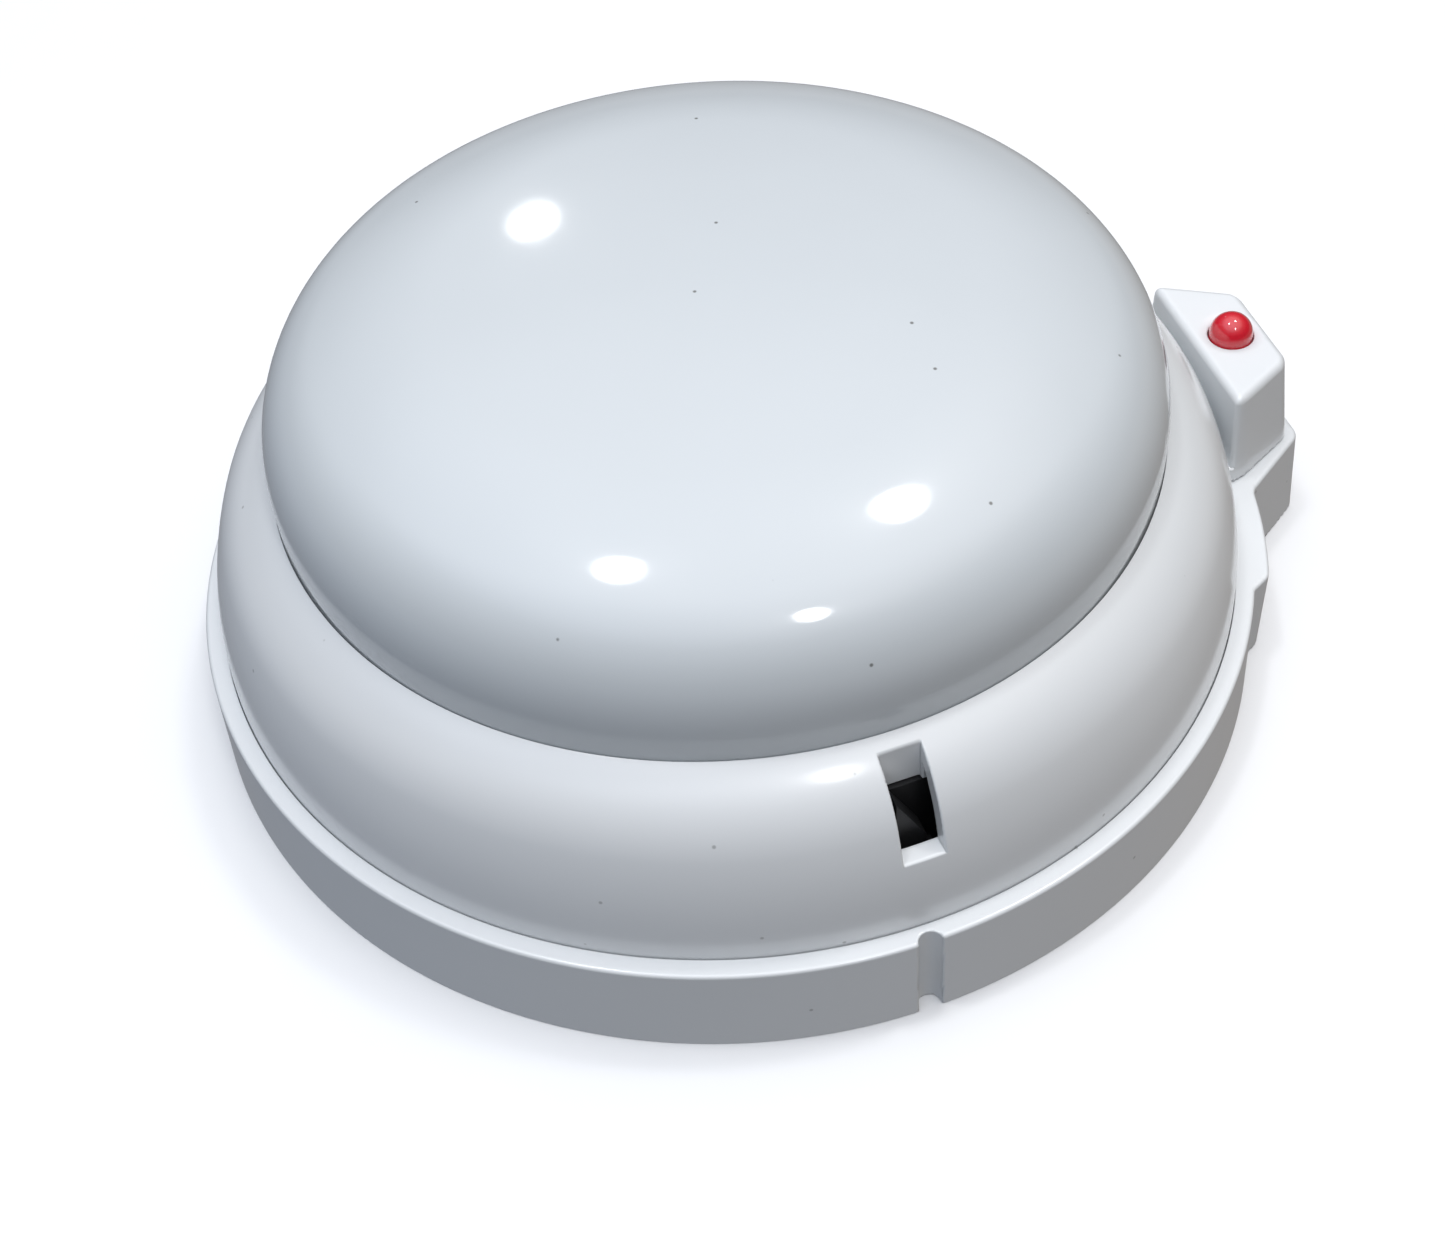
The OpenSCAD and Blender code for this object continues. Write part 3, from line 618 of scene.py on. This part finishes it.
# on the real white pieces no red mirror image of the lamp shows
lens.visible_glossy = False
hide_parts("indicator_led")
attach(lens, "head")


# ---- camera, light and floor ----

CAMERA_AT = (-37.5, -148.2, 164.0)
CAMERA_HEADING, CAMERA_TILT, CAMERA_ROLL = 76.15, -47.37, -4.65
CAMERA_LENS = 53.66


def direction(heading, tilt):
    h, t = math.radians(heading), math.radians(tilt)
    return Vector((math.cos(h) * math.cos(t), math.sin(h) * math.cos(t), math.sin(t)))


def looking(forward, roll):
    """Rotation of a camera or light that faces forward, tilted by roll degrees."""
    right = forward.cross(Vector((0, 0, 1))).normalized()
    up = right.cross(forward)
    c, s = math.cos(math.radians(roll)), math.sin(math.radians(roll))
    return Matrix((right * c + up * s, up * c - right * s, -forward)).transposed().to_4x4()


camera = bpy.data.objects.new("camera", bpy.data.cameras.new("camera"))
bpy.context.scene.collection.objects.link(camera)
camera.data.lens = CAMERA_LENS
camera.data.sensor_fit = "HORIZONTAL"
camera.data.clip_start = 0.005
camera.matrix_world = Matrix.Translation(Vector(CAMERA_AT) * MM) @ looking(
    direction(CAMERA_HEADING, CAMERA_TILT), CAMERA_ROLL
)
bpy.context.scene.camera = camera


def lamp(name, at, aim, sizes, roll, power):
    """An elliptical area light at a place in mm, facing a point in mm."""
    data = bpy.data.lights.new(name, "AREA")
    data.shape = "ELLIPSE"
    data.size = sizes[0] * MM
    data.size_y = sizes[1] * MM
    data.energy = power
    light = bpy.data.objects.new(name, data)
    bpy.context.scene.collection.objects.link(light)
    forward = (Vector(aim) - Vector(at)).normalized()
    light.matrix_world = Matrix.Translation(Vector(at) * MM) @ looking(forward, roll)
    return light


def dome_point(radius, azimuth):
    """Point and normal on the dome's outside at that distance from the axis."""
    for centre, arc_r, _, low in dome_arcs():
        lean = math.asin((radius - centre[0]) / arc_r)
        if lean <= low:
            break
    a = math.radians(azimuth)
    point = Vector((radius * math.cos(a), radius * math.sin(a), centre[1] + arc_r * math.cos(lean)))
    normal = Vector((math.sin(lean) * math.cos(a), math.sin(lean) * math.sin(a), math.cos(lean)))
    return point, normal


# room lamps, each where the dome mirrors it to the camera:
# radius and azimuth on the dome, width and height, roll in degrees, power
ROOM_LAMPS = [
    (18.5, 132.5, 80, 60, 65, 0.4),
    (32, -77.5, 255, 165, 170, 3.2),
    (34, -119, 200, 150, -10, 2.6),
    (38, -94.5, 320, 170, 80, 2.4),
]
LAMP_AWAY = 1500
for n, (radius, azimuth, width, height, roll, power) in enumerate(ROOM_LAMPS):
    point, normal = dome_point(radius, azimuth)
    to_camera = (Vector(CAMERA_AT) - point).normalized()
    bounce = 2 * normal.dot(to_camera) * normal - to_camera
    lamp(f"room_lamp_{n}", point + bounce * LAMP_AWAY, point, (width, height), roll, power)

# a wide soft light overhead, whose own outline is not mirrored in the gloss
softbox = lamp("softbox", (0, -150, LAMP_AWAY), (0, 0, 0), (900, 900), 0, 4.0)
softbox.visible_glossy = False

# a soft sky, brightest overhead: (height of the direction from -1 to 1, brightness)
SKY = [(-1.0, 0.30), (-0.05, 0.24), (0.05, 0.06), (0.35, 0.08), (0.62, 0.35), (0.8, 1.2), (1.0, 1.7)]
SKY_COOL, SKY_WARM = (0.84, 0.96, 1.16), (1.10, 1.01, 0.93)
world = bpy.data.worlds.new("studio")
world.use_nodes = True
bpy.context.scene.world = world
sky_nodes, sky_links = world.node_tree.nodes, world.node_tree.links
facing = sky_nodes.new("ShaderNodeTexCoord")
split = sky_nodes.new("ShaderNodeSeparateXYZ")
height = sky_nodes.new("ShaderNodeMapRange")
height.inputs["From Min"].default_value = -1
ramp = sky_nodes.new("ShaderNodeValToRGB")
while len(ramp.color_ramp.elements) < len(SKY):
    ramp.color_ramp.elements.new(0.5)
for element, (level, brightness) in zip(ramp.color_ramp.elements, SKY):
    element.position = (level + 1) / 2
    element.color = (brightness, brightness, brightness, 1)
side = sky_nodes.new("ShaderNodeMapRange")
side.inputs["From Min"].default_value = -1
tint = sky_nodes.new("ShaderNodeMix")
tint.data_type = "RGBA"
tint.inputs["A"].default_value = (*SKY_COOL, 1)
tint.inputs["B"].default_value = (*SKY_WARM, 1)
mixed = sky_nodes.new("ShaderNodeMix")
mixed.data_type = "RGBA"
mixed.blend_type = "MULTIPLY"
mixed.inputs["Factor"].default_value = 1
sky_links.new(facing.outputs["Generated"], split.inputs["Vector"])
sky_links.new(split.outputs["Z"], height.inputs["Value"])
sky_links.new(height.outputs["Result"], ramp.inputs["Fac"])
sky_links.new(split.outputs["X"], side.inputs["Value"])
sky_links.new(side.outputs["Result"], tint.inputs["Factor"])
sky_links.new(ramp.outputs["Color"], mixed.inputs["A"])
sky_links.new(tint.outputs["Result"], mixed.inputs["B"])
sky_links.new(mixed.outputs["Result"], sky_nodes["Background"].inputs["Color"])
bpy.context.scene.view_settings.view_transform = "Standard"

floor_mesh = bpy.data.meshes.new("floor")
FLOOR_HALF = 3.0
FLOOR_CORNERS = [(-1, -1), (1, -1), (1, 1), (-1, 1)]
floor_mesh.from_pydata(
    [(side_x * FLOOR_HALF, side_y * FLOOR_HALF, 0) for side_x, side_y in FLOOR_CORNERS],
    [],
    [(0, 1, 2, 3)],
)
floor = bpy.data.objects.new("floor", floor_mesh)
bpy.context.scene.collection.objects.link(floor)
put(floor, finish_material("floor", (0.82, 0.83, 0.84), 0.6, grain=3, relief=0.01, tint=0.01))
floor.visible_diffuse = False
floor.visible_glossy = False
